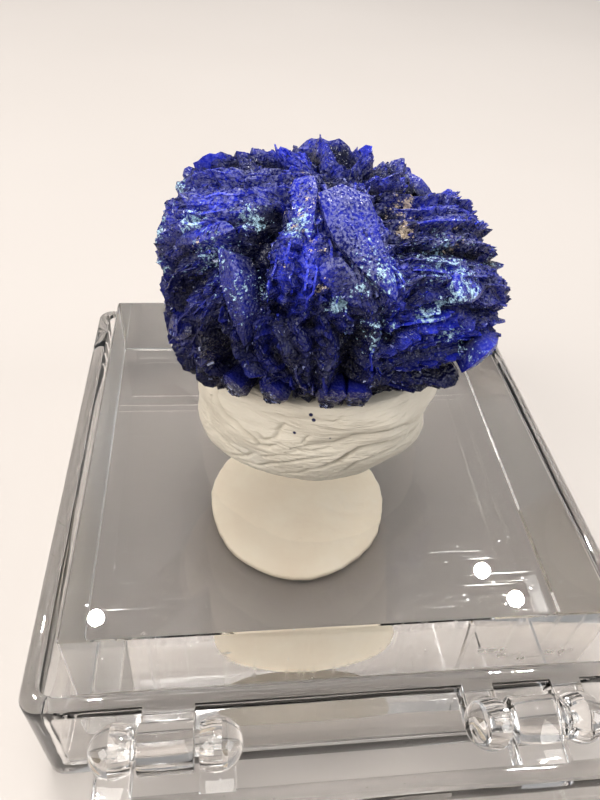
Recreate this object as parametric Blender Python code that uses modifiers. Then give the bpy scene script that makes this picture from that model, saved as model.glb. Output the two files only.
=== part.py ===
"""An azurite rosette on mounting putty, in an open thumbnail box. Metres, +Z up.

The origin is the centre of the box base's underside, which stands on the table. +X runs along the
hinge side, and +Y points away from the hinges. The lid lies open, flat on the table, at -Y.
"""

import math
import random

import bmesh
import bpy
from mathutils import Matrix, Vector

MM = 0.001
EDGE_ANGLE = 35.0
PUTTY_EDGE_ANGLE = 60.0
CRYSTAL_EDGE_ANGLE = 1.0

# Box: two equal halves of a 1 1/4 inch thumbnail box.
BOX_SIDE = 0.0320
BOX_DEPTH = 0.0080
WALL = 0.0009
FLOOR = 0.0006
LID_PANEL = 0.0009
CORNER_RADIUS = 0.0010
INNER_CORNER_RADIUS = 0.00055

# Hinge: two pivots on one axis, level with the rim and in front of the base.
HINGE_Y = -0.01785
HINGE_Z = BOX_DEPTH
HINGE_LEFT_X = -0.0090
HINGE_RIGHT_X = 0.0084
LID_Y = 2 * HINGE_Y
KNOB_RADIUS = 0.0012
KNOB_OFFSET = 0.00225
LUG_RADIUS = 0.0011
LUG_HALF_WIDTH = 0.00125
PIN_RADIUS = 0.00045
PIN_REACH = 0.00215
BORE_RADIUS = 0.0007
BORE_REACH = 0.00245
ARM_INNER_X = 0.0015
ARM_OUTER_X = 0.0031
ARM_DROP = 0.0013
ARM_OVERLAP = 0.0003
FLAT_MARGIN = 0.0004
BARREL_SIDES = 24
PIN_SIDES = 16

# Stack inside the base: flat putty pad, clear block, putty lump, crystals.
SEAT_GAP = 0.0001
PAD_RADIUS = 0.00575
PAD_THICKNESS = 0.0003
PAD_X = -0.00139
PAD_Y = -0.00173
PAD_OVALNESS = 0.012
PAD_RIPPLE = 0.008
BLOCK_X = -0.00031
BLOCK_Y = -0.00023
BLOCK_WIDTH = 0.0275
BLOCK_LENGTH = 0.0273
BLOCK_THICKNESS = 0.0095
BLOCK_CHAMFER = 0.00015
PAD_BOTTOM = FLOOR + SEAT_GAP
BLOCK_BOTTOM = PAD_BOTTOM + PAD_THICKNESS + SEAT_GAP
BLOCK_TOP = BLOCK_BOTTOM + BLOCK_THICKNESS

# Putty lump: a pressed ball with a nearly upright wall, which the crystals sit in.
PUTTY_CENTRE = Vector((-0.0005, 0.0004, 0.0136))
PUTTY_REACH = Vector((0.0072, 0.0058, 0.0046))
PUTTY_SQUARENESS = 3.0
PUTTY_LEAN = 0.0004
PUTTY_SWELL = 0.030
PUTTY_DENT = 0.014
PUTTY_FOLD = 0.016
PUTTY_FOOT = BLOCK_TOP + SEAT_GAP
BOWL_CLEARANCE = 0.00025

# Crystals: flat blades that fan out of a core. Reach is the ellipsoid that their tips lie on.
CLUSTER_CENTRE = Vector((-0.0006, 0.0008, 0.0207))
CLUSTER_REACH = Vector((0.0094, 0.0070, 0.0072))
CORE_SHARE = 0.86
CORE_ROUGHNESS = 0.03
BLADE_ROOT = 0.66
BLADE_SEED = 11
BLADE_NARROWING = 0.86
ROOT_SWELL = 1.25
TIP_THINNING = 0.5
REACH_JITTER = 0.045
TURN_JITTER = 9.0
SLIDE_JITTER = 0.16
STEP_JITTER = 0.3
THINNEST = 0.8
THICKEST = 1.25
LONG_ARC = 34.0

# Each fan runs from its first blade's arc to its last blade's. An arc is the two directions, as
# (azimuth, elevation) in degrees, that a blade's outer edge runs between; azimuth 0 is -Y.
# (first arc, last arc, blades, reach, thickness in mm)
FANS = (
    # left sweep, curving from the crown to the left and then down
    (((-34, 62), (-68, 32)), ((-47, 28), (-28, -6)), 11, 1.00, 0.70),
    # left shoulder and the serrated edge under it
    (((-86, 46), (-62, 24)), ((-68, -18), (-44, 0)), 8, 1.00, 0.75),
    (((-92, 4), (-70, -8)), ((-66, -36), (-48, -22)), 5, 1.00, 0.80),
    # centre, running down and to the right
    (((-72, 66), (-18, 44)), ((28, 68), (16, 36)), 8, 1.00, 0.75),
    (((-26, 46), (-16, 8)), ((16, 46), (16, 8)), 8, 1.00, 0.75),
    (((-24, 12), (-10, -12)), ((6, 22), (17, -8)), 6, 0.99, 0.70),
    # right lobe, stacked nearly level
    (((42, 60), (84, 38)), ((24, 42), (74, 14)), 7, 1.00, 0.70),
    (((20, 30), (66, 12)), ((19, -4), (68, -14)), 8, 1.00, 0.75),
    (((16, -14), (64, -22)), ((18, -34), (52, -42)), 4, 0.99, 0.80),
    # dark points that hang over the putty
    (((-46, -6), (-40, -36)), ((12, -12), (12, -38)), 8, 0.98, 0.85),
    # crown
    (((-118, 52), (-60, 74)), ((128, 50), (52, 70)), 8, 1.00, 0.85),
    # right end and back
    (((86, 44), (124, 32)), ((72, -14), (114, -28)), 8, 1.00, 0.90),
    (((128, 56), (160, 34)), ((120, -22), (156, -30)), 7, 0.99, 0.95),
    (((168, 64), (206, 40)), ((164, -28), (206, -28)), 8, 1.00, 0.95),
    (((-134, 56), (-104, 36)), ((-140, -26), (-104, -28)), 8, 1.00, 0.90),
    (((-100, 40), (-80, 20)), ((-100, -26), (-78, -30)), 6, 1.00, 0.85),
)
# Larger crystals that lie with a broad face outward: (azimuth, elevation, half length and half
# width in mm, turn of the length from level and tilt of the face in degrees)
TABLETS = (
    (-37, 20, 1.9, 1.0, -62, 24),
    (6, 47, 2.2, 1.3, -70, -16),
    (-24, 58, 1.8, 0.8, -66, 26),
    (-2, 30, 1.4, 0.8, -48, 20),
    (-62, 38, 1.9, 1.1, 28, -20),
    (54, -10, 2.0, 1.2, -8, 18),
    (50, 22, 2.2, 1.0, -14, -26),
    (-58, -4, 1.4, 0.9, 24, -28),
    (140, 30, 2.2, 1.3, 40, 20),
    (-150, 20, 2.2, 1.3, -50, 20),
    (180, 50, 2.0, 1.2, 10, -20),
)
TABLET_THICKNESS = 0.0009
TABLET_SEAT = 0.93
# Swellings and grooves of the whole: (azimuth, elevation, half width in degrees, share of reach)
RELIEF = (
    (-108, 42, 20, 0.09),
    (-90, 6, 16, -0.04),
    (-173, 69, 11, 0.09),
    (155, 66, 12, -0.04),
    (-148, 64, 11, -0.05),
    (60, -12, 20, 0.11),
    (74, 6, 16, 0.04),
    (46, -30, 16, 0.07),
    (-58, -32, 14, 0.08),
    (-80, -12, 10, -0.06),
    (112, 56, 13, -0.14),
    (30, 58, 10, -0.05),
    (20, 40, 8, -0.07),
    (17, 18, 8, -0.07),
    (-50, 24, 9, -0.07),
)


def material(name, colour, roughness, transmission=0.0, ior=1.5):
    made = bpy.data.materials.new(name)
    made.use_nodes = True
    shader = made.node_tree.nodes["Principled BSDF"]
    shader.inputs["Base Color"].default_value = (*colour, 1.0)
    shader.inputs["Roughness"].default_value = roughness
    shader.inputs["Metallic"].default_value = 0.0
    shader.inputs["Transmission Weight"].default_value = transmission
    shader.inputs["IOR"].default_value = ior
    return made


def add_object(name, mesh, collection):
    obj = bpy.data.objects.new(name, mesh)
    collection.objects.link(obj)
    return obj


def add_cutter(name, mesh, collection):
    obj = add_object(name, mesh, collection)
    obj.hide_render = True
    obj.display_type = "WIRE"
    return obj


def mesh_from(bm, name):
    mesh = bpy.data.meshes.new(name)
    bm.to_mesh(mesh)
    bm.free()
    return mesh


def box_mesh(name, low, high):
    bm = bmesh.new()
    bmesh.ops.create_cube(bm, size=1.0)
    size = Vector(high) - Vector(low)
    middle = (Vector(high) + Vector(low)) / 2
    bmesh.ops.transform(bm, matrix=Matrix.Translation(middle) @ Matrix.Diagonal((*size, 1)), verts=bm.verts)
    return mesh_from(bm, name)


def rod_mesh(name, radius, start_x, end_x, centre_y, centre_z, sides):
    bm = bmesh.new()
    bmesh.ops.create_cone(
        bm, cap_ends=True, segments=sides, radius1=radius, radius2=radius, depth=abs(end_x - start_x)
    )
    middle = Vector(((start_x + end_x) / 2, centre_y, centre_z))
    turn = Matrix.Rotation(math.pi / 2, 4, "Y")
    bmesh.ops.transform(bm, matrix=Matrix.Translation(middle) @ turn, verts=bm.verts)
    return mesh_from(bm, name)


def ball_mesh(name, radius, centre):
    bm = bmesh.new()
    bmesh.ops.create_uvsphere(bm, u_segments=16, v_segments=10, radius=radius)
    turn = Matrix.Rotation(math.pi / 2, 4, "Y")
    bmesh.ops.transform(bm, matrix=Matrix.Translation(centre) @ turn, verts=bm.verts)
    return mesh_from(bm, name)


def combine(obj, other, operation):
    modifier = obj.modifiers.new(operation.title(), "BOOLEAN")
    modifier.operation = operation
    modifier.solver = "EXACT"
    modifier.object = other


def round_upright_edges(obj, radius):
    """Bevels only the edges that stand along Z."""
    weights = obj.data.attributes.new("bevel_weight_edge", "FLOAT", "EDGE")
    for edge in obj.data.edges:
        ends = [obj.data.vertices[i].co for i in edge.vertices]
        upright = abs((ends[0] - ends[1]).normalized().z) > 0.99
        weights.data[edge.index].value = 1.0 if upright else 0.0
    modifier = obj.modifiers.new("Upright corners", "BEVEL")
    modifier.limit_method = "WEIGHT"
    modifier.width = radius
    modifier.segments = 3


def shell(name, centre_y, panel, parts, cutters):
    """A square half box, open at the top, with rounded upright corners."""
    half = BOX_SIDE / 2
    outer = box_mesh(name, (-half, centre_y - half, 0), (half, centre_y + half, BOX_DEPTH))
    body = add_object(name, outer, parts)
    round_upright_edges(body, CORNER_RADIUS)
    inner = half - WALL
    hollow = box_mesh(
        name + "_hollow",
        (-inner, centre_y - inner, panel),
        (inner, centre_y + inner, BOX_DEPTH * 2),
    )
    cutter = add_cutter(name + "_hollow", hollow, cutters)
    round_upright_edges(cutter, INNER_CORNER_RADIUS)
    combine(body, cutter, "DIFFERENCE")
    return body


def add_lug(body, hinge_x, wall_y, cutters):
    """The hinge's middle part: an arm from the wall, a barrel on the axis, and a pin out of each end."""
    inward = ARM_OVERLAP if wall_y > HINGE_Y else -ARM_OVERLAP
    ends_y = sorted((HINGE_Y, wall_y + inward))
    tag = f"{body.name}_lug"
    arm = box_mesh(
        tag + "_arm",
        (hinge_x - LUG_HALF_WIDTH, ends_y[0], HINGE_Z - ARM_DROP),
        (hinge_x + LUG_HALF_WIDTH, ends_y[1], HINGE_Z),
    )
    left = hinge_x - LUG_HALF_WIDTH
    right = hinge_x + LUG_HALF_WIDTH
    barrel = rod_mesh(tag + "_barrel", LUG_RADIUS, left, right, HINGE_Y, HINGE_Z, BARREL_SIDES)
    left = hinge_x - PIN_REACH
    right = hinge_x + PIN_REACH
    pin = rod_mesh(tag + "_pin", PIN_RADIUS, left, right, HINGE_Y, HINGE_Z, PIN_SIDES)
    for mesh in (arm, barrel, pin):
        combine(body, add_cutter(mesh.name, mesh, cutters), "UNION")


def add_knobs(body, hinge_x, wall_y, cutters):
    """The hinge's outer parts: two arms from the wall, each with a ball that a pin turns in."""
    inward = ARM_OVERLAP if wall_y > HINGE_Y else -ARM_OVERLAP
    ends_y = sorted((HINGE_Y, wall_y + inward))
    for side in (-1, 1):
        tag = f"{body.name}_knob_{'left' if side < 0 else 'right'}"
        ends_x = sorted((hinge_x + side * ARM_INNER_X, hinge_x + side * ARM_OUTER_X))
        arm = box_mesh(
            tag + "_arm",
            (ends_x[0], ends_y[0], HINGE_Z - ARM_DROP),
            (ends_x[1], ends_y[1], HINGE_Z),
        )
        ball_centre = Vector((hinge_x + side * KNOB_OFFSET, HINGE_Y, HINGE_Z))
        ball = ball_mesh(tag + "_ball", KNOB_RADIUS, ball_centre)
        flat_x = sorted((hinge_x + side * ARM_INNER_X, hinge_x))
        reach = KNOB_RADIUS + FLAT_MARGIN
        slot = box_mesh(
            tag + "_flat",
            (flat_x[0], HINGE_Y - reach, HINGE_Z - reach),
            (flat_x[1], HINGE_Y + reach, HINGE_Z + reach),
        )
        bore = rod_mesh(
            tag + "_bore",
            BORE_RADIUS,
            hinge_x + side * LUG_HALF_WIDTH,
            hinge_x + side * BORE_REACH,
            HINGE_Y,
            HINGE_Z,
            PIN_SIDES,
        )
        combine(body, add_cutter(arm.name, arm, cutters), "UNION")
        combine(body, add_cutter(ball.name, ball, cutters), "UNION")
        combine(body, add_cutter(slot.name, slot, cutters), "DIFFERENCE")
        combine(body, add_cutter(bore.name, bore, cutters), "DIFFERENCE")


def box_base(parts, cutters):
    body = shell("box_base", 0.0, FLOOR, parts, cutters)
    add_lug(body, HINGE_LEFT_X, -BOX_SIDE / 2, cutters)
    add_knobs(body, HINGE_RIGHT_X, -BOX_SIDE / 2, cutters)
    return body


def box_lid(parts, cutters):
    body = shell("box_lid", LID_Y, LID_PANEL, parts, cutters)
    add_knobs(body, HINGE_LEFT_X, LID_Y + BOX_SIDE / 2, cutters)
    add_lug(body, HINGE_RIGHT_X, LID_Y + BOX_SIDE / 2, cutters)
    return body


def acrylic_block(parts):
    low = (BLOCK_X - BLOCK_WIDTH / 2, BLOCK_Y - BLOCK_LENGTH / 2, BLOCK_BOTTOM)
    high = (BLOCK_X + BLOCK_WIDTH / 2, BLOCK_Y + BLOCK_LENGTH / 2, BLOCK_TOP)
    block = add_object("acrylic_block", box_mesh("acrylic_block", low, high), parts)
    modifier = block.modifiers.new("Softened edges", "BEVEL")
    modifier.width = BLOCK_CHAMFER
    modifier.segments = 2
    return block


def block_pad(parts):
    bm = bmesh.new()
    bmesh.ops.create_cone(
        bm, cap_ends=True, segments=40, radius1=PAD_RADIUS, radius2=PAD_RADIUS, depth=PAD_THICKNESS
    )
    for vert in bm.verts:
        turn = math.atan2(vert.co.y, vert.co.x)
        ripple = 1 + PAD_OVALNESS * math.sin(3 * turn + 0.7) + PAD_RIPPLE * math.sin(7 * turn)
        vert.co.x *= ripple
        vert.co.y *= ripple
    middle = Vector((PAD_X, PAD_Y, PAD_BOTTOM + PAD_THICKNESS / 2))
    bmesh.ops.translate(bm, vec=middle, verts=bm.verts)
    return add_object("block_pad", mesh_from(bm, "block_pad"), parts)


def direction(azimuth, elevation):
    turn = math.radians(azimuth)
    rise = math.radians(elevation)
    return Vector((math.sin(turn) * math.cos(rise), -math.cos(turn) * math.cos(rise), math.sin(rise)))


def fullness(toward):
    """The reach in one direction, as a share of the ellipsoid's."""
    share = 1.0
    for azimuth, elevation, width, swelling in RELIEF:
        away = math.degrees(toward.angle(direction(azimuth, elevation)))
        share += swelling * math.exp(-((away / width) ** 2))
    return share


def add_blade(bm, start, end, reach, thickness):
    """A tabular crystal: a flat prism bent onto the sector between two directions of the core."""
    sides = 8 if math.degrees(start.angle(end)) > LONG_ARC else 6
    ring = bmesh.ops.create_cone(
        bm, cap_ends=True, segments=sides, radius1=1.0, radius2=BLADE_NARROWING, depth=1.0
    )
    middle = (start + end).normalized()
    across = (end - start).normalized()
    spread = start.angle(end) / 2
    outward = Vector([a * b for a, b in zip(middle, CLUSTER_REACH)])
    sideways = Vector([a * b for a, b in zip(across, CLUSTER_REACH)])
    normal = outward.cross(sideways).normalized()
    for vert in ring["verts"]:
        turn = vert.co.x * spread
        rise = (vert.co.y + 1) / 2
        toward = (middle * math.cos(turn) + across * math.sin(turn)).normalized()
        radius = BLADE_ROOT + (reach * fullness(toward) - BLADE_ROOT) * rise
        flat = outward * math.cos(turn) * radius + sideways * math.sin(turn) * radius
        taper = ROOT_SWELL - TIP_THINNING * rise
        vert.co = CLUSTER_CENTRE + flat + normal * vert.co.z * thickness * taper
    if outward.cross(sideways).dot(normal) < 0:
        bmesh.ops.reverse_faces(bm, faces=list({face for vert in ring["verts"] for face in vert.link_faces}))


def add_tablet(bm, azimuth, elevation, length, width, turn, tilt):
    """A tabular crystal that shows its broad face."""
    toward = direction(azimuth, elevation)
    level = Vector((0, 0, 1)).cross(toward).normalized()
    upward = toward.cross(level)
    seat = Vector([a * b for a, b in zip(toward, CLUSTER_REACH)]) * fullness(toward) * TABLET_SEAT
    frame = Matrix((level, upward, toward)).transposed().to_4x4()
    spin = Matrix.Rotation(math.radians(turn), 4, "Z") @ Matrix.Rotation(math.radians(tilt), 4, "X")
    size = Matrix.Diagonal((length * MM, width * MM, TABLET_THICKNESS, 1))
    place = Matrix.Translation(CLUSTER_CENTRE + seat) @ frame @ spin @ size
    bmesh.ops.create_cone(
        bm, cap_ends=True, segments=6, radius1=1.0, radius2=BLADE_NARROWING, depth=1.0, matrix=place
    )


def blades_mesh():
    source = random.Random(BLADE_SEED)
    bm = bmesh.new()
    for first, last, count, reach, thickness in FANS:
        first_ends = [direction(*end) for end in first]
        last_ends = [direction(*end) for end in last]
        for step in range(count):
            share = (step + source.uniform(-STEP_JITTER, STEP_JITTER)) / (count - 1)
            start, end = [a.lerp(b, share).normalized() for a, b in zip(first_ends, last_ends)]
            slide = source.uniform(-SLIDE_JITTER, SLIDE_JITTER)
            start, end = start.lerp(end, slide).normalized(), end.lerp(start, -slide).normalized()
            middle = (start + end).normalized()
            turn = Matrix.Rotation(math.radians(source.uniform(-TURN_JITTER, TURN_JITTER)), 3, middle)
            tip = reach + source.uniform(-REACH_JITTER, REACH_JITTER)
            depth = thickness * MM * source.uniform(THINNEST, THICKEST)
            add_blade(bm, turn @ start, turn @ end, tip, depth)
    for tablet in TABLETS:
        add_tablet(bm, *tablet)
    bmesh.ops.recalc_face_normals(bm, faces=bm.faces)
    return mesh_from(bm, "azurite_blades")


def islands(bm):
    """The mesh's separate closed surfaces, each as a set of faces."""
    left = set(bm.faces)
    found = []
    while left:
        grown = {left.pop()}
        edge_of_growth = list(grown)
        while edge_of_growth:
            face = edge_of_growth.pop()
            for edge in (edge for edge in face.edges if len(edge.link_faces) == 2):
                for other in edge.link_faces:
                    if other in left:
                        left.remove(other)
                        grown.add(other)
                        edge_of_growth.append(other)
        found.append(grown)
    return found


def keep_outer_skin(obj):
    """Applies the modifiers and fills the pockets that the blades close off inside the cluster."""
    graph = bpy.context.evaluated_depsgraph_get()
    skin = bpy.data.meshes.new_from_object(obj.evaluated_get(graph))
    bm = bmesh.new()
    bm.from_mesh(skin)
    pockets = sorted(islands(bm), key=len)[:-1]
    bmesh.ops.delete(bm, geom=[face for pocket in pockets for face in pocket], context="FACES")
    bm.to_mesh(skin)
    bm.free()
    obj.modifiers.clear()
    obj.data = skin


def azurite_cluster(parts, cutters):
    source = random.Random(BLADE_SEED)
    bm = bmesh.new()
    bmesh.ops.create_icosphere(bm, subdivisions=3, radius=1.0)
    for vert in bm.verts:
        share = CORE_SHARE * fullness(vert.co.normalized()) + source.uniform(-CORE_ROUGHNESS, CORE_ROUGHNESS)
        for axis in range(3):
            vert.co[axis] = CLUSTER_CENTRE[axis] + vert.co[axis] * CLUSTER_REACH[axis] * share
    core = add_object("azurite_cluster", mesh_from(bm, "azurite_cluster"), parts)
    blades = add_cutter("azurite_blades", blades_mesh(), cutters)
    combine(core, blades, "UNION")
    core.modifiers[-1].use_self = True
    keep_outer_skin(core)
    return core


def bowl_mesh(cluster):
    """The cluster's convex hull, let out by the clearance, as the shape pressed into the putty."""
    bm = bmesh.new()
    for vert in cluster.data.vertices:
        outward = (vert.co - CLUSTER_CENTRE).normalized()
        bm.verts.new(vert.co + outward * BOWL_CLEARANCE)
    hull = bmesh.ops.convex_hull(bm, input=bm.verts)
    loose = [item for item in hull["geom_interior"] if isinstance(item, bmesh.types.BMVert)]
    bmesh.ops.delete(bm, geom=loose, context="VERTS")
    bmesh.ops.recalc_face_normals(bm, faces=bm.faces)
    return mesh_from(bm, "putty_bowl")


def mounting_putty(cluster, parts, cutters):
    """A pressed ball of putty, flat underneath, with the crystals' bowl cut out of its top."""
    bm = bmesh.new()
    bmesh.ops.create_uvsphere(bm, u_segments=40, v_segments=20, radius=1.0)
    for vert in bm.verts:
        turn = math.atan2(vert.co.y, vert.co.x)
        level = vert.co.z
        around = math.hypot(vert.co.x, vert.co.y)
        wall = (1 - abs(level) ** PUTTY_SQUARENESS) ** (1 / PUTTY_SQUARENESS)
        swell = PUTTY_SWELL * math.sin(2 * turn + 2.4) + PUTTY_DENT * math.sin(5 * turn + 6 * level)
        fold = PUTTY_FOLD * math.sin(9 * level + 2.2 * turn)
        out = wall * (1 + swell + fold) / max(around, 1e-6)
        vert.co.x = PUTTY_CENTRE.x + vert.co.x * out * PUTTY_REACH.x + PUTTY_LEAN * level
        vert.co.y = PUTTY_CENTRE.y + vert.co.y * out * PUTTY_REACH.y
        vert.co.z = PUTTY_CENTRE.z + level * PUTTY_REACH.z
    lump = add_object("mounting_putty", mesh_from(bm, "mounting_putty"), parts)
    wide = 4 * PUTTY_REACH.x
    under = box_mesh("putty_foot", (-wide, -wide, -wide), (wide, wide, PUTTY_FOOT))
    combine(lump, add_cutter("putty_foot", under, cutters), "DIFFERENCE")
    combine(lump, add_cutter("putty_bowl", bowl_mesh(cluster), cutters), "DIFFERENCE")
    return lump


def finish(obj, look, sharp_over):
    obj.data.materials.append(look)
    obj.data.shade_smooth()
    obj.data.set_sharp_from_angle(angle=math.radians(sharp_over))


def main():
    for obj in list(bpy.data.objects):
        bpy.data.objects.remove(obj, do_unlink=True)
    scene = bpy.context.scene
    scene.unit_settings.system = "METRIC"
    parts = bpy.data.collections.new("azurite_specimen")
    cutters = bpy.data.collections.new("cutters")
    scene.collection.children.link(parts)
    scene.collection.children.link(cutters)

    clear_box = material("clear_polystyrene", (0.95, 0.94, 0.90), 0.06, 1.0, 1.55)
    clear_block = material("clear_acrylic", (0.98, 0.97, 0.96), 0.03, 1.0, 1.49)
    putty = material("white_putty", (0.78, 0.75, 0.69), 0.75)
    pad = material("cream_putty", (0.84, 0.78, 0.68), 0.70)
    azurite = material("azurite", (0.01, 0.03, 0.55), 0.30)

    base = box_base(parts, cutters)
    lid = box_lid(parts, cutters)
    block = acrylic_block(parts)
    disc = block_pad(parts)
    cluster = azurite_cluster(parts, cutters)
    lump = mounting_putty(cluster, parts, cutters)
    finish(base, clear_box, EDGE_ANGLE)
    finish(lid, clear_box, EDGE_ANGLE)
    finish(block, clear_block, EDGE_ANGLE)
    finish(disc, pad, EDGE_ANGLE)
    finish(lump, putty, PUTTY_EDGE_ANGLE)
    finish(cluster, azurite, CRYSTAL_EDGE_ANGLE)

    pivot = bpy.data.objects.new("lid_pivot", None)
    pivot.location = (0.0, HINGE_Y, HINGE_Z)
    parts.objects.link(pivot)
    lid.parent = pivot
    lid.location = (0.0, -HINGE_Y, -HINGE_Z)


main()
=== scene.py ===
"""Looks of the azurite specimen in its thumbnail box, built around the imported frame."""

import math

import bmesh
import bpy
import numpy as np
from mathutils import Matrix, Vector, noise
from mathutils.bvhtree import BVHTree


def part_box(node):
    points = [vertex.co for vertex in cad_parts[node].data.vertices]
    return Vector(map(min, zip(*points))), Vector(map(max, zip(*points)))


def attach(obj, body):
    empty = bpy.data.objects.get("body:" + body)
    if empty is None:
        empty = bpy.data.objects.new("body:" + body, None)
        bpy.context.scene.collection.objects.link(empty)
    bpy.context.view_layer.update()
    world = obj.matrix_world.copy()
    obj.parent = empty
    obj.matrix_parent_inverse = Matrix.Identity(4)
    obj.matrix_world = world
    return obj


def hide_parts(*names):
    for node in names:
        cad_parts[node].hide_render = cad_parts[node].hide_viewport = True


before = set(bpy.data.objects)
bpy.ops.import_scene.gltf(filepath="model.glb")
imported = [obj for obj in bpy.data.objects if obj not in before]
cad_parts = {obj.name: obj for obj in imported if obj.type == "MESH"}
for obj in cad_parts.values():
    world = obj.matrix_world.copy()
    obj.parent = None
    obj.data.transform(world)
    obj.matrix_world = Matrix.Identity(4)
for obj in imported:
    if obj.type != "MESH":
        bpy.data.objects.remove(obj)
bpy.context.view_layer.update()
MM = 0.001
SEED = 7
RNG = np.random.default_rng(SEED)
noise.seed_set(SEED)


# -------- camera and studio

# The camera that took the photograph: lens, place in metres, and its own three axes.
FOCAL_MM, SENSOR_MM = 29.544, 36.0
CLIP = (0.001, 20.0)
CAMERA_AT = (-0.006177, -0.029249, 0.039888)
CAMERA_RIGHT = (0.99324163, -0.09498798, 0.06669588)
CAMERA_UP = (0.01587725, 0.68043905, 0.73263266)
CAMERA_BACK = (-0.11497377, -0.72662232, 0.67734854)

WORLD_COLOUR = (0.95, 0.97, 1.0, 1.0)
WORLD_STRENGTH = 0.36
# The point that every lamp faces, in metres.
LIT_POINT = (0.0, 0.0, 0.018)
# Soft square lamps: name, place and side in metres, watts, colour, whether gloss shows them.
# Seen in the flat clear faces, the first two would hide what lies under them.
LAMPS = (
    ("overhead", (-0.03, 0.02, 0.46), 0.30, 1.6, (1.0, 0.98, 0.95), False),
    ("top", (-0.03, 0.085, 0.36), 0.075, 0.60, (1.0, 0.98, 0.96), False),
    ("key", (-0.30, -0.16, 0.26), 0.22, 1.1, (1.0, 0.97, 0.93), True),
    ("fill", (0.34, -0.14, 0.18), 0.22, 0.6, (0.94, 0.97, 1.0), True),
)
# Small round lamps that only gloss shows, as dots in the block: place in metres, watts.
GLINTS = (
    ((-0.0667, 0.1324, 0.2675), 0.30),
    ((0.1155, 0.1358, 0.2486), 0.25),
    ((0.1281, 0.1214, 0.2507), 0.20),
)
GLINT_WIDTH, GLINT_COLOUR = 0.0075, (1.0, 0.98, 0.94)
# Light crosses many clear walls here, so its paths may be long.
BOUNCES = {"max_bounces": 20, "transmission_bounces": 20, "glossy_bounces": 8, "diffuse_bounces": 2}


def add_object(name, data):
    made = bpy.data.objects.new(name, data)
    bpy.context.scene.collection.objects.link(made)
    return made


def add_camera():
    data = bpy.data.cameras.new("camera")
    data.lens, data.sensor_width = FOCAL_MM, SENSOR_MM
    data.clip_start, data.clip_end = CLIP
    camera = add_object("camera", data)
    turn = Matrix((CAMERA_RIGHT, CAMERA_UP, CAMERA_BACK)).transposed()
    camera.matrix_world = Matrix.Translation(CAMERA_AT) @ turn.to_4x4()
    bpy.context.scene.camera = camera


def add_lamp(name, place, width, watts, colour, shape):
    data = bpy.data.lights.new(name, "AREA")
    data.shape, data.size, data.energy, data.color = shape, width, watts, colour
    lamp = add_object(name, data)
    lamp.location = place
    aim = Vector(LIT_POINT) - Vector(place)
    lamp.rotation_euler = aim.to_track_quat("-Z", "Y").to_euler()
    return lamp


def add_studio():
    scene = bpy.context.scene
    world = bpy.data.worlds.new("studio")
    scene.world = world
    world.use_nodes = True
    back = world.node_tree.nodes["Background"]
    back.inputs["Color"].default_value = WORLD_COLOUR
    back.inputs["Strength"].default_value = WORLD_STRENGTH
    for name, place, width, watts, colour, in_gloss in LAMPS:
        add_lamp(name, place, width, watts, colour, "SQUARE").visible_glossy = in_gloss
    for index, (place, watts) in enumerate(GLINTS):
        glint = add_lamp(f"glint{index}", place, GLINT_WIDTH, watts, GLINT_COLOUR, "DISK")
        glint.visible_diffuse = glint.visible_transmission = False
    scene.view_settings.view_transform = "Standard"
    for setting, most in BOUNCES.items():
        setattr(scene.cycles, setting, most)


# -------- node helpers


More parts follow.
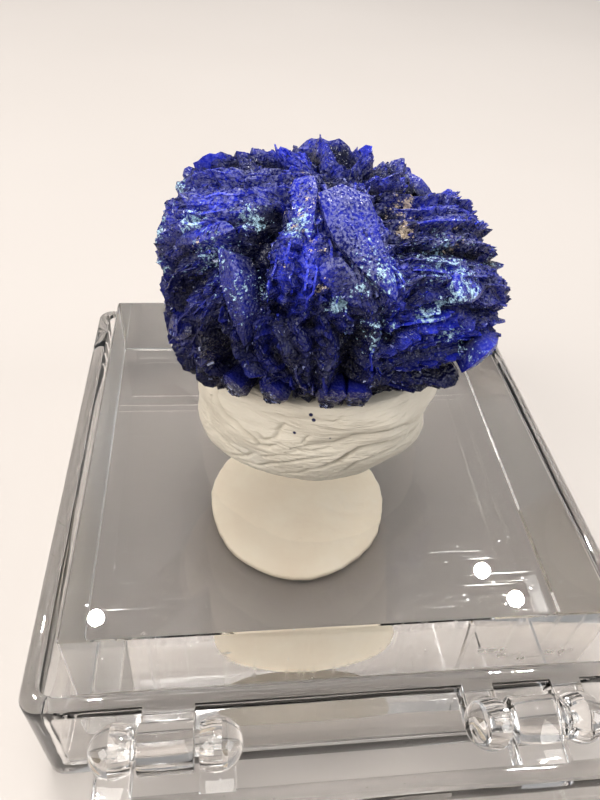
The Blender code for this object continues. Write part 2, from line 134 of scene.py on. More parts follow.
class Nodes:
    """A material's node tree, built by short calls."""

    def __init__(self, name):
        self.material = bpy.data.materials.new(name)
        self.material.use_nodes = True
        self.tree = self.material.node_tree
        self.shader = self.tree.nodes["Principled BSDF"]

    def add(self, kind, inputs=None, **settings):
        """A new node with these settings, its inputs fed by name."""
        node = self.tree.nodes.new(kind)
        for key, value in settings.items():
            setattr(node, key, value)
        for key, value in (inputs or {}).items():
            self.feed(node.inputs[key], value)
        return node

    def feed(self, target, value):
        """Links a socket or sets a value, if there is one."""
        if isinstance(value, bpy.types.NodeSocket):
            self.tree.links.new(value, target)
        elif value is not None:
            target.default_value = value

    def place(self):
        """The point on the piece, in metres."""
        return self.add("ShaderNodeTexCoord").outputs["Object"]

    def stretched(self, scale, turn=(0, 0, 0)):
        inputs = {"Vector": self.place(), "Scale": scale, "Rotation": turn}
        return self.add("ShaderNodeMapping", inputs).outputs["Vector"]

    def noise(self, scale, detail=3.0, roughness=0.55, where=None, distortion=0.0):
        inputs = {"Vector": where or self.place(), "Scale": scale, "Detail": detail}
        inputs |= {"Roughness": roughness, "Distortion": distortion}
        return self.add("ShaderNodeTexNoise", inputs).outputs["Fac"]

    def cells(self, scale):
        """Distance to the nearest of a field of scattered points."""
        inputs = {"Vector": self.place(), "Scale": scale}
        return self.add("ShaderNodeTexVoronoi", inputs).outputs["Distance"]

    def math(self, operation, *values):
        node = self.add("ShaderNodeMath", operation=operation)
        for socket, value in zip(node.inputs, values):
            self.feed(socket, value)
        return node.outputs["Value"]

    def times(self, a, b):
        return self.math("MULTIPLY", a, b)

    def ramp(self, value, *stops):
        node = self.add("ShaderNodeValToRGB")
        ramp = node.color_ramp
        while len(ramp.elements) < len(stops):
            ramp.elements.new(0.5)
        for element, (at, colour) in zip(ramp.elements, stops):
            element.position = at
            element.color = (*colour, 1.0)
        self.feed(node.inputs["Fac"], value)
        return node.outputs["Color"]

    def range(self, value, low, high, to_low=0.0, to_high=1.0):
        """The value carried from low..high to to_low..to_high, and held at the ends."""
        node = self.add("ShaderNodeMapRange", {"Value": value})
        for socket, number in zip(node.inputs[1:5], (low, high, to_low, to_high)):
            socket.default_value = number
        return node.outputs["Result"]

    def mix(self, share, under, colour):
        """The colour laid over what is under it, by its share."""
        inputs = {"Factor": share, "A": under, "B": (*colour, 1.0)}
        return self.add("ShaderNodeMix", inputs, data_type="RGBA").outputs["Result"]

    def attribute(self, name):
        return self.add("ShaderNodeAttribute", attribute_name=name).outputs["Fac"]

    def bump(self, height, distance, strength, under=None):
        inputs = {"Height": height, "Distance": distance, "Strength": strength, "Normal": under}
        return self.add("ShaderNodeBump", inputs).outputs["Normal"]

    def set(self, **values):
        """Feeds the shader's own sockets, named with underscores for spaces."""
        for key, value in values.items():
            self.feed(self.shader.inputs[key.replace("_", " ")], value)
        return self.material


# -------- materials

# The crystals' colours, from the darkest grains to the brightest, and what lies over them, with painted
# sheen, painted shade and painted glints among them.
BLUES = (
    (0.26, (0.001, 0.002, 0.024)),
    (0.42, (0.004, 0.007, 0.130)),
    (0.55, (0.014, 0.024, 0.470)),
    (0.70, (0.046, 0.080, 0.960)),
)
SUGAR_AND_SHEEN_BLUE = (0.27, 0.28, 0.50)
VALLEY_SHADE_BLUE = (0.001, 0.0015, 0.012)
LOW_SHADE_BLUE = (0.004, 0.004, 0.018)
CRUST_BLUE = (0.47, 0.69, 0.82)
MATRIX_CREAM = (0.70, 0.57, 0.44)
GLINT_BLUE = (0.36, 0.40, 0.68)
SPARK_GLINT_BLUE = (0.66, 0.71, 0.90)
# Striations: how fast they change across a blade (by its "across" value) and along it (per metre).
STRIA_ACROSS, STRIA_ALONG = 62.0, 260.0


def azurite_material():
    n = Nodes("azurite")
    rise = n.attribute("rise")
    grain = n.attribute("grain")
    speck = n.noise(6600.0, 2.0, 0.6)

    # Lines that run along each blade.
    where = n.add("ShaderNodeSeparateXYZ", {"Vector": n.place()}).outputs
    lines = {
        "X": n.times(n.attribute("across"), STRIA_ACROSS),
        "Y": n.times(where["X"], STRIA_ALONG),
        "Z": n.times(where["Z"], STRIA_ALONG),
    }
    stria = n.noise(1.0, 2.0, 0.6, n.add("ShaderNodeCombineXYZ", lines).outputs["Vector"])

    # Blues that differ by crystal, patch and line, paler where fine crystals lie and with a painted sheen
    # there, and with painted shade in the valleys, on the shaded sides and below.
    patch = n.math("MULTIPLY_ADD", n.noise(420.0, 3.0, 0.6), 0.40, n.times(stria, 0.34))
    deep = n.ramp(n.math("MULTIPLY_ADD", grain, 0.26, patch), *BLUES)
    # Fine crystals make it paler, and a painted sheen lies over them.
    sugar_and_sheen = n.times(n.range(speck, 0.44, 0.58), n.attribute("sugar_and_sheen"))
    colour = n.mix(n.times(sugar_and_sheen, 0.50), deep, SUGAR_AND_SHEEN_BLUE)
    # Painted shade in the valleys between the blades.
    colour = n.mix(n.range(rise, 0.12, 0.92, 0.96, 0.0), colour, VALLEY_SHADE_BLUE)
    # Painted shade on the lower crystals and on the sides turned from the light.
    colour = n.mix(n.times(n.attribute("low"), 0.97), colour, LOW_SHADE_BLUE)

    # Pale crust, cream matrix, and painted glints on facets along the rims.
    crust = n.noise(3600.0, 3.0, 0.8)
    pale = n.math("MULTIPLY_ADD", n.attribute("frost"), 0.26, n.times(crust, 0.80))
    pale = n.math("MULTIPLY_ADD", rise, 0.05, pale)
    broken = n.range(speck, 0.36, 0.54, 0.12, 1.0)
    colour = n.mix(n.times(n.range(pale, 0.618, 0.650), broken), colour, CRUST_BLUE)
    rubble = n.noise(2600.0, 3.0, 0.8)
    stone = n.math("MULTIPLY_ADD", n.attribute("cream"), 0.29, n.times(rubble, 0.80))
    stone = n.math("MULTIPLY_ADD", rise, -0.13, stone)
    broken = n.range(speck, 0.34, 0.50, 0.25, 1.0)
    colour = n.mix(n.times(n.range(stone, 0.550, 0.580), broken), colour, MATRIX_CREAM)
    # Painted glints: a few crystals, brighter on the rims, coloured as if they caught the lamps.
    for low, high, share, blue in ((0.88, 0.89, 0.8, GLINT_BLUE), (0.965, 0.97, 0.9, SPARK_GLINT_BLUE)):
        painted_glint = n.times(n.range(grain, low, high), n.times(rise, share))
        colour = n.mix(painted_glint, colour, blue)

    fine = n.bump(n.cells(5600.0), 0.00005, 0.8)
    ridged = n.bump(stria, 0.00028, 0.8, fine)
    coarse = n.bump(n.noise(1900.0, 3.0, 0.7), 0.00012, 0.7, ridged)
    return n.set(
        Base_Color=colour,
        Roughness=n.range(speck, 0.3, 0.7, 0.12, 0.42),
        Normal=coarse,
        IOR=1.60,
        Specular_IOR_Level=0.26,
    )


# Radius in metres of a speck of azurite on the putty, at its core and at its faded edge.
SPECK_CORE, SPECK_EDGE = 0.00009, 0.00013
SPECK_BLUE = (0.010, 0.012, 0.06)
CREASE_SHADE_BROWN = (0.42, 0.37, 0.28)


def putty_material():
    n = Nodes("white_putty")
    base = n.ramp(
        n.noise(160.0, 3.0, 0.6),
        (0.30, (0.68, 0.605, 0.49)),
        (0.55, (0.78, 0.70, 0.575)),
        (0.75, (0.83, 0.765, 0.65)),
    )
    # Painted shade in the laps' creases and the fine wrinkles.
    base = n.mix(n.times(n.attribute("crease_shade"), 0.52), base, CREASE_SHADE_BROWN)
    for x, y, z in SPECKS:
        away = n.add("ShaderNodeVectorMath", operation="DISTANCE")
        n.feed(away.inputs[0], n.place())
        n.feed(away.inputs[1], (x * MM, y * MM, z * MM))
        base = n.mix(n.range(away.outputs["Value"], SPECK_EDGE, SPECK_CORE), base, SPECK_BLUE)
    fine = n.bump(n.noise(4200.0, 3.0, 0.6), 0.00002, 0.6)
    folds = n.noise(1.0, 3.0, 0.6, n.stretched((420.0, 420.0, 2600.0), (0.0, 0.42, 0.3)), 0.6)
    wrinkles = n.bump(folds, 0.00034, 0.7, fine)
    pores = n.bump(n.noise(1300.0, 3.0, 0.65), 0.00006, 0.6, wrinkles)
    rough = n.range(n.noise(900.0, 2.0), 0.3, 0.7, 0.52, 0.72)
    return n.set(Base_Color=base, Roughness=rough, Normal=pores, Specular_IOR_Level=0.35)


def pad_material():
    n = Nodes("cream_putty")
    base = n.ramp(
        n.noise(260.0, 4.0, 0.6),
        (0.30, (0.92, 0.78, 0.60)),
        (0.55, (0.96, 0.84, 0.66)),
        (0.80, (0.98, 0.89, 0.74)),
    )
    bump = n.bump(n.noise(2400.0, 4.0, 0.6), 0.00003, 0.5)
    return n.set(Base_Color=base, Roughness=0.7, Normal=bump)


# How much scratches and dust add to the roughness.
MARK_ROUGHNESS = 0.24
# Where (metres) the block's dull left side and streaked front set in, and where they are full.
BLOCK_LEFT = (-0.01390, -0.01402)
BLOCK_FRONT = (-0.01372, -0.01384)


def clear_look(name, tint, ior, haze, wave):
    """Clear plastic: plain transmission, with moulding waves, fine scratches and dust."""
    n = Nodes(name)
    scuff = n.noise(1.0, 1.0, 0.6, n.stretched((200.0, 12000.0, 900.0), (0.2, 0.1, 0.75)))
    marks = n.times(n.range(scuff, 0.66, 0.76), n.range(n.noise(110.0, 0.0), 0.44, 0.60))
    marks = n.math("MAXIMUM", marks, n.range(n.cells(1250.0), 0.10, 0.05))
    n.set(
        Base_Color=tint,
        IOR=ior,
        Transmission_Weight=1.0,
        Normal=n.bump(n.noise(75.0, 0.0, 0.5), 0.0003, wave),
    )
    return n, n.math("MULTIPLY_ADD", marks, MARK_ROUGHNESS, haze)


def box_material():
    n, rough = clear_look("clear_polystyrene", (0.985, 0.975, 0.965, 1.0), 1.57, 0.015, 0.5)
    return n.set(Roughness=rough)


def block_material():
    """Polished acrylic: clear above and below, its left side dull and its front faintly streaked."""
    n, rough = clear_look("clear_acrylic", (0.985, 0.98, 0.975, 1.0), 1.50, 0.0, 0.06)
    where = n.add("ShaderNodeSeparateXYZ", {"Vector": n.place()}).outputs
    left = n.range(where["X"], *BLOCK_LEFT)
    front = n.range(where["Y"], *BLOCK_FRONT)
    streaks = n.noise(1.0, 1.0, 0.6, n.stretched((2600.0, 2600.0, 60.0)))
    sawn = n.times(n.range(streaks, 0.45, 0.75), front)
    rough = n.math("MULTIPLY_ADD", sawn, 0.22, rough)
    rough = n.math("MAXIMUM", rough, n.times(left, 0.34))
    return n.set(Roughness=rough)


def floor_material():
    n = Nodes("studio_floor")
    shade = n.ramp(n.noise(9.0, 3.0), (0.3, (0.50, 0.455, 0.42)), (0.7, (0.53, 0.485, 0.45)))
    return n.set(Base_Color=shade, Roughness=0.65)


# -------- pieces


def mesh_of(name, points, faces):
    """A mesh from points in mm."""
    mesh = bpy.data.meshes.new(name)
    mesh.from_pydata((points * MM).tolist(), [], faces)
    return mesh


def store(mesh, name, values):
    """Keeps a value at each point, for the material to read."""
    mesh.attributes.new(name, "FLOAT", "POINT").data.foreach_set("value", values.astype(np.float32))


def add_piece(name, mesh, look):
    made = add_object(name, mesh)
    made.data.materials.append(look)
    return made


def finish_piece(made, body):
    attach(made, body)


# -------- azurite

# The middle of the crystals and their half sizes, in mm.
CENTRE = np.array((-0.6, 0.8, 20.7))
REACH = np.array((9.4, 7.0, 7.2))
# Rows of blades. Each runs from a first blade to a last, and a blade's rim is given by three
# directions (azimuth, elevation) on it. Then: number of blades, rim level, and the fall on each
# side of the rim (share of the reach per radian).
ROWS = (
    (((-30, 82), (-82, 66), (-114, 40)), ((-45, 47), (-68, 30), (-90, 0)), 15, 1.000, 1.5, 0.9),
    (((-45, 47), (-64, 22), (-76, -12)), ((-44, 25), (-47, 6), (-46, -24)), 8, 1.000, 3.4, 0.75),
    (((-46, 29), (-38, 12), (-32, -12)), ((-26, 14), (-22, 0), (-17, -20)), 5, 1.010, 3.2, 0.9),
    (((-26, 66), (-27, 42), (-28, 16)), ((-3, 62), (6, 34), (12, 8)), 10, 1.000, 2.6, 1.4),
    (((0, 62), (9, 40), (13, 16)), ((18, 62), (19, 38), (17, 12)), 5, 0.990, 3.2, 1.0),
    (((-26, 12), (-19, -4), (-15, -28)), ((13, 6), (13, -10), (12, -36)), 9, 0.995, 2.8, 1.6),
    (((24, 66), (58, 58), (90, 40)), ((19, 40), (48, 40), (80, 18)), 8, 1.005, 1.3, 3.2),
    (((19, 38), (44, 33), (78, 12)), ((17, 12), (38, 18), (74, -6)), 8, 1.010, 1.1, 3.2),
    (((18, 8), (38, 10), (72, -12)), ((16, -18), (38, -14), (64, -26)), 8, 1.000, 1.4, 3.0),
    (((15, -20), (40, -22), (66, -28)), ((16, -38), (40, -42), (58, -46)), 5, 0.985, 2.4, 2.4),
    (((-94, 2), (-82, -14), (-66, -36)), ((-56, -4), (-50, -22), (-44, -42)), 6, 0.990, 3.0, 1.6),
    (((-44, -14), (-40, -28), (-34, -42)), ((-16, -18), (-12, -30), (-8, -42)), 5, 0.960, 3.0, 3.0),
    (((-72, 68), (-46, 62), (-18, 62)), ((20, 74), (22, 66), (16, 56)), 7, 1.000, 2.0, 2.4),
    (((-118, 52), (-90, 66), (-50, 78)), ((128, 50), (96, 64), (52, 72)), 9, 1.000, 2.2, 2.2),
    (((86, 46), (104, 40), (126, 30)), ((72, -14), (94, -22), (116, -28)), 11, 1.000, 2.0, 2.6),
    (((128, 58), (146, 48), (162, 34)), ((120, -22), (138, -28), (158, -30)), 10, 0.995, 2.2, 2.2),
    (((168, 66), (188, 54), (206, 40)), ((164, -28), (184, -32), (206, -28)), 11, 1.000, 2.2, 2.2),
    (((-134, 58), (-120, 48), (-104, 36)), ((-140, -26), (-122, -30), (-104, -28)), 12, 1.000, 2.2, 2.4),
    (((-100, 40), (-92, 30), (-80, 20)), ((-104, -24), (-92, -30), (-80, -34)), 9, 0.995, 2.2, 2.4),
)
# Broad faces: azimuth and elevation, half length and half width in mm, turn and tilt in degrees.
TABLETS = (
    (-2, -30, 1.9, 0.8, -94, 10), (9, -32, 1.8, 0.8, -78, 10), (-24, -30, 1.6, 0.9, -106, 14),
    (-40, -32, 1.7, 0.8, -116, 10), (-37, 20, 2.2, 1.0, -62, 24), (6, 45, 2.8, 1.5, -66, -16),
    (-24, 58, 1.8, 0.8, -66, 26), (-2, 30, 1.4, 0.8, -48, 20), (-62, 38, 1.9, 1.1, 28, -20),
    (54, -10, 2.0, 1.2, -8, 18), (50, 22, 2.2, 1.0, -14, -26), (-58, -4, 1.4, 0.9, 24, -28),
    (140, 30, 1.7, 0.9, 40, 20), (-150, 20, 2.2, 1.3, -50, 20), (180, 50, 1.6, 0.9, 10, -20),
)
# Swellings and hollows of the mass: azimuth, elevation, half width in degrees, share of the reach.
RELIEF = (
    (-108, 42, 20, 0.09), (-90, 6, 16, -0.04), (-173, 69, 11, 0.09), (155, 66, 12, -0.04),
    (-148, 64, 11, -0.05), (60, -12, 20, 0.11), (74, 6, 16, 0.04), (46, -30, 16, 0.07),
    (-58, -32, 14, 0.08), (-80, -12, 10, -0.06), (112, 56, 13, -0.14), (30, 58, 10, -0.05),
    (20, 40, 8, -0.07), (17, 18, 8, -0.07), (-50, 24, 9, -0.07),
)
# Patches on the crystals: azimuth, elevation, half width in degrees, strength. First, pale crusts.
PALE = (
    (-90, 24, 8, 1.0), (-99, 36, 8, 0.9), (-84, 10, 6, 0.8), (-68, 38, 6, 0.9), (-46, 49, 6, 0.9),
    (-23, 50, 6, 0.9), (-4, 22, 4, 1.1), (27, 14, 4, 1.1), (34, 18, 4, 1.2), (42, 20, 4, 1.1),
    (37, 3, 6, 0.8), (46, -8, 8, 0.6), (4, 29, 4, 0.8), (12, 34, 9, 0.75), (-52, 30, 12, 0.65),
    (-34, 22, 9, 0.75), (40, 34, 14, 0.72), (10, 10, 12, 0.58), (120, 10, 9, 0.9), (160, -5, 9, 0.8),
    (-150, 35, 8, 0.9), (-128, 0, 10, 0.7), (80, 20, 8, 0.8),
)
# Cream matrix.
STONE = (
    (-25, 60, 6, 1.0), (-22, 52, 5, 1.0), (-42, 70, 4, 0.8), (39, 58, 6, 0.92), (30, 50, 5, 0.92),
    (-9, 29, 4, 1.0), (46, 64, 6, 0.9), (-23, 37, 4, 0.9), (-14, 44, 5, 0.9), (-58, 34, 5, 0.8),
    (52, 40, 6, 0.8), (170, 30, 6, 1.0), (-130, 50, 6, 0.9), (100, 45, 6, 0.8),
)
# Bare, even blades with few small crystals.
SMOOTH = ((-50, 2, 16, 1.0), (-38, -12, 12, 1.0), (-20, -26, 12, 0.8), (-62, -14, 12, 0.8))
# Sides darkened with painted shade.
SHADED_SIDES = (
    (-66, 10, 26, 0.85), (-42, -2, 26, 1.0), (-14, -6, 26, 0.9), (0, 14, 16, 0.7), (30, -26, 24, 0.7),
    (-90, -20, 30, 0.8), (58, -16, 18, 0.5), (150, -20, 40, 0.7), (-150, -20, 40, 0.8),
)
# Faces that fine crystals make paler, with a painted sheen over them.
SUGARY_AND_SHEEN = (
    (50, 38, 20, 1.0), (30, 60, 20, 1.0), (-58, 52, 26, 1.0), (-88, 34, 18, 0.8), (-20, 68, 24, 1.0),
    (6, 44, 16, 1.2), (10, 28, 10, 0.9), (-34, 18, 9, 0.7), (60, 14, 14, 0.7), (150, 40, 28, 0.9),
    (-150, 50, 24, 0.8),
)
# Shares of the reach: how high the valleys between blades lie and how far under a rim they count,
# how far a rim sinks towards its ends, and how far down its crest goes.
VALLEY_LEVEL, VALLEY_UNDER = 0.80, 0.16
RIM_SAG, CREST_DEPTH = 0.035, 0.13
# How finely the body is split, and a broad face's corners.
BODY_SUBDIVISIONS, SLAB_SIDES = 6, 11
# How many small crystals there are, and how deep in the body (mm) they root.
DRUSE_COUNT, DRUSE_ROOT = 13000, 0.05
LEAF_COUNT, LEAF_ROOT = 800, 0.24
# On each broad face: how many, how far out from its middle (mm), how near its edge (share).
SUGAR_COUNT, SUGAR_LIFT, SUGAR_SPREAD = 90, 0.17, 0.68
# Least room in mm between the crystals and their CAD box.
BOX_MARGIN = 0.01
# Height in mm under which painted shade darkens the crystals, and over how many mm.
SHADE_FROM, SHADE_OVER = 20.4, 3.0


def heading(azimuth, elevation):
    a, e = math.radians(azimuth), math.radians(elevation)
    return np.array((math.sin(a) * math.cos(e), -math.cos(a) * math.cos(e), math.sin(e)))


def unit(v):
    return v / np.maximum(np.linalg.norm(v, axis=-1, keepdims=True), 1e-9)


def patch_at(toward, azimuth, elevation, width):
    """1 for a direction in the middle of a round patch, falling to 0 outside it."""
    away = np.degrees(np.arccos(np.clip(toward @ heading(azimuth, elevation), -1, 1)))
    return np.exp(-((away / width) ** 2))


def spots(toward, table):
    """How strongly each direction lies in one of the table's round patches."""
    total = np.zeros(len(toward))
    for azimuth, elevation, width, strength in table:
        total = np.maximum(total, strength * patch_at(toward, azimuth, elevation, width))
    return total


def fullness(toward):
    """The reach in each direction, as a share of an even ellipsoid's."""
    share = np.ones(toward.shape[:-1])
    for azimuth, elevation, width, swelling in RELIEF:
        share += swelling * patch_at(toward, azimuth, elevation, width)
    return share


class Heap:
    """Meshes gathered into one: points in mm, faces, and three values at each point."""

    def __init__(self):
        self.points, self.faces, self.grain, self.crest, self.across = [], [], [], [], []
        self.count = 0

    def add(self, points, faces, grain, crest, across=0.0):
        self.points.append(points)
        self.faces.extend([tuple(i + self.count for i in face) for face in faces])
        for kept, values in ((self.grain, grain), (self.crest, crest), (self.across, across)):
            kept.append(np.broadcast_to(values, len(points)))
        self.count += len(points)


def arcs():
    """Every blade's rim: the plane its circle lies in, where it starts and ends, level and falls."""
    made = []
    for first, last, count, level, fall_left, fall_right in ROWS:
        ends = [(heading(*a), heading(*b)) for a, b in zip(first, last)]
        for step in range(count):
            share = (step + RNG.uniform(-0.48, 0.48)) / max(count - 1, 1)
            a, m, b = [unit(p * (1 - share) + q * share) for p, q in ends]
            slide = RNG.uniform(-0.16, 0.16)
            a, b = unit(a + (m - a) * slide), unit(b + (m - b) * -slide)
            m = unit(m + RNG.normal(0, 0.03, 3))
            normal = unit(np.cross(m - a, b - m))
            offset = float(normal @ a)
            start = unit(a - offset * normal)
            side = np.cross(normal, start)
            end = math.atan2(float(b @ side), float(b @ start))
            kick = RNG.uniform(0.75, 1.3)
            top = level + RNG.uniform(-0.075, 0.020)
            made.append((normal, offset, start, side, end, top, fall_left * kick, fall_right * kick))
    return made


def relief(toward, rims):
    """Per direction: reach share, the blade that stands highest, how far under its rim and beside it."""
    best = np.full(len(toward), VALLEY_LEVEL)
    which = np.zeros(len(toward), int)
    under = np.full(len(toward), VALLEY_UNDER)
    beside = np.zeros(len(toward))
    for index, (normal, offset, start, side, end, level, left, right) in enumerate(rims):
        away = np.arcsin(np.clip(toward @ normal, -1, 1)) - math.asin(offset)
        turn = np.arctan2(toward @ side, toward @ start)
        wide = math.sqrt(1 - offset * offset)
        beyond = np.maximum(np.maximum(-turn, turn - end), 0) * wide
        along = np.clip(turn / end, 0, 1)
        notch = 0.018 * np.sin(along * 23 + index * 1.7) * np.sin(along * 57 + index * 2.9)
        fall = np.where(away > 0, left * away, -right * away)
        height = level - RIM_SAG * (2 * along - 1) ** 2 + notch - fall - 1.6 * beyond
        taken = height > best
        best = np.where(taken, height, best)
        which = np.where(taken, index, which)
        under = np.where(taken, level - height, under)
        beside = np.where(taken, away, beside)
    return best, which, under, beside


def warped(toward):
    """Directions pushed about a little, so that no rim runs dead true."""

    def push(v):
        wide, small = noise.noise_vector(v * 3.1), noise.noise_vector(v * 10.0)
        return np.array(wide) * 0.075 + np.array(small) * 0.034

    return unit(toward + np.array([push(Vector(v)) for v in toward]))


def rim_plate(heap, rim):
    """A thin crystal that stands out of the mass along part of one rim, with a stepped outer edge."""
    normal, offset, start, side, end, level, _, _ = rim
    run = RNG.uniform(0.20, 0.50)
    first = RNG.uniform(0.02, 0.98 - run)
    count = max(6, int(abs(end) * run / 0.045))
    along = np.linspace(first, first + run, count)
    share = np.linspace(0, 1, count)
    turn = along * end
    wide = math.sqrt(1 - offset * offset)
    toward = normal * offset + wide * (start * np.cos(turn)[:, None] + side * np.sin(turn)[:, None])
    toward = unit(toward - (warped(toward) - toward))
    steps = np.repeat(RNG.uniform(-0.022, 0.020, (count + 1) // 2), 2)[:count]
    crown = level + 0.002 - RIM_SAG * (2 * along - 1) ** 2 + steps + RNG.uniform(-0.006, 0.006, count)
    taper = np.minimum(1, np.minimum(share, 1 - share) / 0.25)
    crown -= 0.05 * (1 - taper)
    swell = fullness(toward)
    outer = CENTRE + toward * REACH * (crown * swell)[:, None]
    inner = CENTRE + toward * REACH * ((level - 0.17) * swell)[:, None]
    sheet = unit(np.cross(np.gradient(outer, axis=0), outer - inner))
    thick = RNG.uniform(0.05, 0.11) * (0.55 + 0.45 * taper)
    thin, foot = sheet * (thick * 0.55)[:, None], sheet * thick[:, None] * 1.5
    rings = np.concatenate((outer + thin, outer - thin, inner - foot, inner + foot))
    faces = []
    for i in range(count - 1):
        for ring in range(4):
            p, q = ring * count + i, ((ring + 1) % 4) * count + i
            faces.append((p, q, q + 1, p + 1))
    faces.append((0, 3 * count, 2 * count, count))
    faces.append((count - 1, 2 * count - 1, 3 * count - 1, 4 * count - 1))
    crest = np.concatenate((np.full(2 * count, 1.0), np.full(2 * count, 0.1)))
    heap.add(rings, faces, RNG.uniform(0.2, 0.8), crest)


def wedge(angle):
    """Where a wedge-shaped face's edge lies at an angle round it, in its half length and half width."""
    across = np.sign(np.sin(angle)) * np.abs(np.sin(angle)) ** 0.8 * (0.82 - 0.52 * np.cos(angle))
    return np.cos(angle)[:, None], across[:, None]


def slab(heap, azimuth, elevation, length, width, turn, tilt):
    """A broad wedge-shaped face of one large crystal, with a bevelled edge. Gives its place and axes."""
    sides, toward = SLAB_SIDES, heading(azimuth, elevation)
    level = unit(np.cross((0, 0, 1), toward))
    upward = np.cross(toward, level)
    seat = CENTRE + toward * REACH * float(fullness(toward[None])[0]) * 0.955
    t, k = math.radians(turn), math.radians(tilt)
    along = math.cos(t) * level + math.sin(t) * upward
    over = -math.sin(t) * level + math.cos(t) * upward
    over, normal = over * math.cos(k) + toward * math.sin(k), toward * math.cos(k) - over * math.sin(k)
    angle = np.linspace(0, 2 * math.pi, sides, endpoint=False) + RNG.uniform(-0.14, 0.14, sides)
    far, wide = wedge(angle)
    size = RNG.uniform(0.84, 1.10, sides)[:, None]
    ring = (far * along * length + wide * over * width) * size
    face = seat + ring * 0.72 + normal * 0.22
    edge = seat + ring + normal * 0.02
    root = seat + ring * 0.8 - normal * 1.0
    rings = np.concatenate((face, edge, root))
    faces = [tuple(range(sides)), tuple(range(3 * sides - 1, 2 * sides - 1, -1))]
    for low in (0, sides):
        for i in range(sides):
            j = (i + 1) % sides
            faces.append((low + i, low + sides + i, low + sides + j, low + j))
    crest = np.concatenate((np.full(2 * sides, 0.9), np.full(sides, 0.1)))
    heap.add(rings, faces, 0.45, crest)
    return seat, along * length, over * width, normal


# A chisel-ended crystal: a base of four corners and a slanting ridge of two.
CHISEL = np.array([(-1, -1, -1), (1, -1, -1), (1, 1, -1), (-1, 1, -1), (-0.85, 0.2, 0.8), (0.8, -0.15, 1)])
CHISEL_FACES = np.array(
    [(0, 1, 5), (0, 5, 4), (2, 3, 4), (2, 4, 5), (3, 0, 4), (1, 2, 5), (0, 3, 2), (0, 2, 1)]
)


def add_druse(heap, at, axis, side, length, width, thin, crest, shine=1.0):
    """Small crystals: each stands along its axis and is broad along its side."""
    number, corners = len(at), len(CHISEL)
    axis = unit(axis)
    side = unit(side - (side * axis).sum(1, keepdims=True) * axis)
    third = np.cross(axis, side)
    lean = RNG.uniform(-0.28, 0.28, (number, corners, 3))
    shape = (CHISEL[None] + lean) * (np.stack((width, thin, length), 1)[:, None] * 0.5)
    points = at[:, None] + shape[..., :1] * side[:, None] + shape[..., 1:2] * third[:, None]
    points = (points + shape[..., 2:] * axis[:, None]).reshape(-1, 3)
    faces = CHISEL_FACES[None] + (np.arange(number) * corners)[:, None, None]
    grain = np.repeat(RNG.uniform(0, shine, number), corners)
    across = np.repeat(RNG.uniform(0, 1, number), corners)
    heap.add(points, faces.reshape(-1, 3).tolist(), grain, np.repeat(crest, corners), across)


def rooted(tree, toward, depth):
    """Places just under the surface in the given directions."""
    way = unit(toward * REACH)
    hits = [tree.ray_cast(Vector(CENTRE), Vector(w))[0] for w in way]
    return np.array(hits) - way * depth


def crest_of(under):
    """1 on a rim, falling to 0 in the valley below it."""
    return np.clip(1 - under / CREST_DEPTH, 0, 1)


def row_way(rims, which, toward):
    """The way the blades' rims run at the given directions."""
    return unit(np.cross(np.array([rims[i][0] for i in which]), toward))


def add_body(heap, rims):
    """The closed mass folded into blades. Gives a tree to cast rays at."""
    bm = bmesh.new()
    bmesh.ops.create_icosphere(bm, subdivisions=BODY_SUBDIVISIONS, radius=1.0)
    sphere = np.array([v.co for v in bm.verts])
    faces = [tuple(v.index for v in face.verts) for face in bm.faces]
    bm.free()
    height, which, under, beside = relief(warped(sphere), rims)
    crumb = RNG.uniform(-0.010, 0.008, len(sphere)) * (1 - 0.8 * np.clip(spots(sphere, SMOOTH), 0, 1))
    share = (height + crumb) * fullness(sphere)
    surface = CENTRE + sphere * REACH * share[:, None]
    heap.add(surface, faces, RNG.uniform(0.1, 0.6, len(rims))[which], crest_of(under), beside)
    return BVHTree.FromPolygons(surface.tolist(), faces)


def add_small_crystals(heap, rims, tree):
    """Druse over the whole mass, thickest on the rims and thin on the smooth blades."""
    toward = unit(RNG.normal(0, 1, (DRUSE_COUNT * 2, 3)))
    _, which, under, _ = relief(warped(toward), rims)
    crest = crest_of(under)
    bare = spots(toward, SMOOTH)
    keep = RNG.uniform(0, 1, DRUSE_COUNT * 2) < (0.22 + 0.78 * crest) * (1 - 0.88 * bare)
    toward, which, crest = [v[keep][:DRUSE_COUNT] for v in (toward, which, crest)]
    number = len(toward)
    at = rooted(tree, toward, DRUSE_ROOT)
    along = row_way(rims, which, toward)
    axis = unit(toward + RNG.normal(0, 0.40, (number, 3)) + along * RNG.normal(0, 0.5, (number, 1)))
    size = RNG.uniform(0.10, 0.23, number) * np.where(RNG.uniform(0, 1, number) < 0.05, 1.6, 1.0)
    side = along + RNG.normal(0, 0.35, (number, 3))
    width = size * RNG.uniform(0.6, 1.1, number)
    add_druse(heap, at, axis, side, size, width, size * RNG.uniform(0.25, 0.6, number), crest)


def add_leaves(heap, rims, tree):
    """Thin leaves that stand side by side along the rims."""
    toward = unit(RNG.normal(0, 1, (LEAF_COUNT * 8, 3)))
    _, which, under, _ = relief(warped(toward), rims)
    keep = under < 0.035
    toward, which = [v[keep][:LEAF_COUNT] for v in (toward, which)]
    number = len(toward)
    at = rooted(tree, toward, LEAF_ROOT)
    along = row_way(rims, which, toward)
    axis = unit(toward + RNG.normal(0, 0.22, (number, 3)) + along * RNG.normal(0, 0.35, (number, 1)))
    side = along + RNG.normal(0, 0.16, (number, 3))
    size = RNG.uniform(0.28, 0.56, number)
    width = size * RNG.uniform(0.8, 1.5, number)
    thin = RNG.uniform(0.06, 0.15, number)
    add_druse(heap, at, axis, side, size, width, thin, np.full(number, 0.95), shine=0.85)


